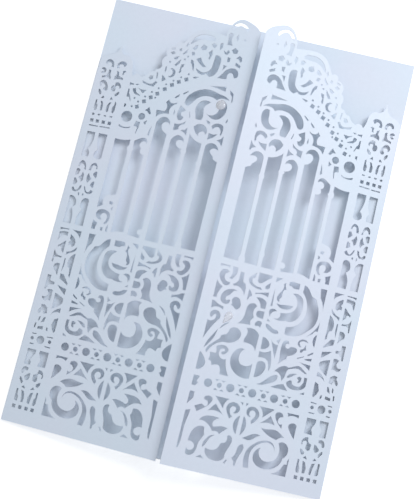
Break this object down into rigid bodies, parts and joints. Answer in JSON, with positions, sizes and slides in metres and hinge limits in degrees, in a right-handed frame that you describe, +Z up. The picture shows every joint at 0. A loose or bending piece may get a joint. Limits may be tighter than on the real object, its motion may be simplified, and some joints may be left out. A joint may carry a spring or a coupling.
{
  "type": "laser-cut invitation",
  "caption": "Gate-fold invitation card whose laser-cut doors form a scrolled wrought-iron gate, lying on its back with the doors sprung slightly open.",
  "frame": {"origin": "middle of the back panel's underside", "axes": "+X across the card to the right, +Y up the card towards the top of the gate, +Z up from the table"},
  "size_m": [0.127, 0.178, 0.0133],
  "materials": {
    "pearl_card": "pale pearl card with a soft sheen",
    "clear_drop": "clear, smooth and glossy"
  },
  "bodies": {
    "root": {"folded_card": "pearl_card", "clear_tear": "clear_drop", "clear_dome": "clear_drop"}
  },
  "joints": []
}
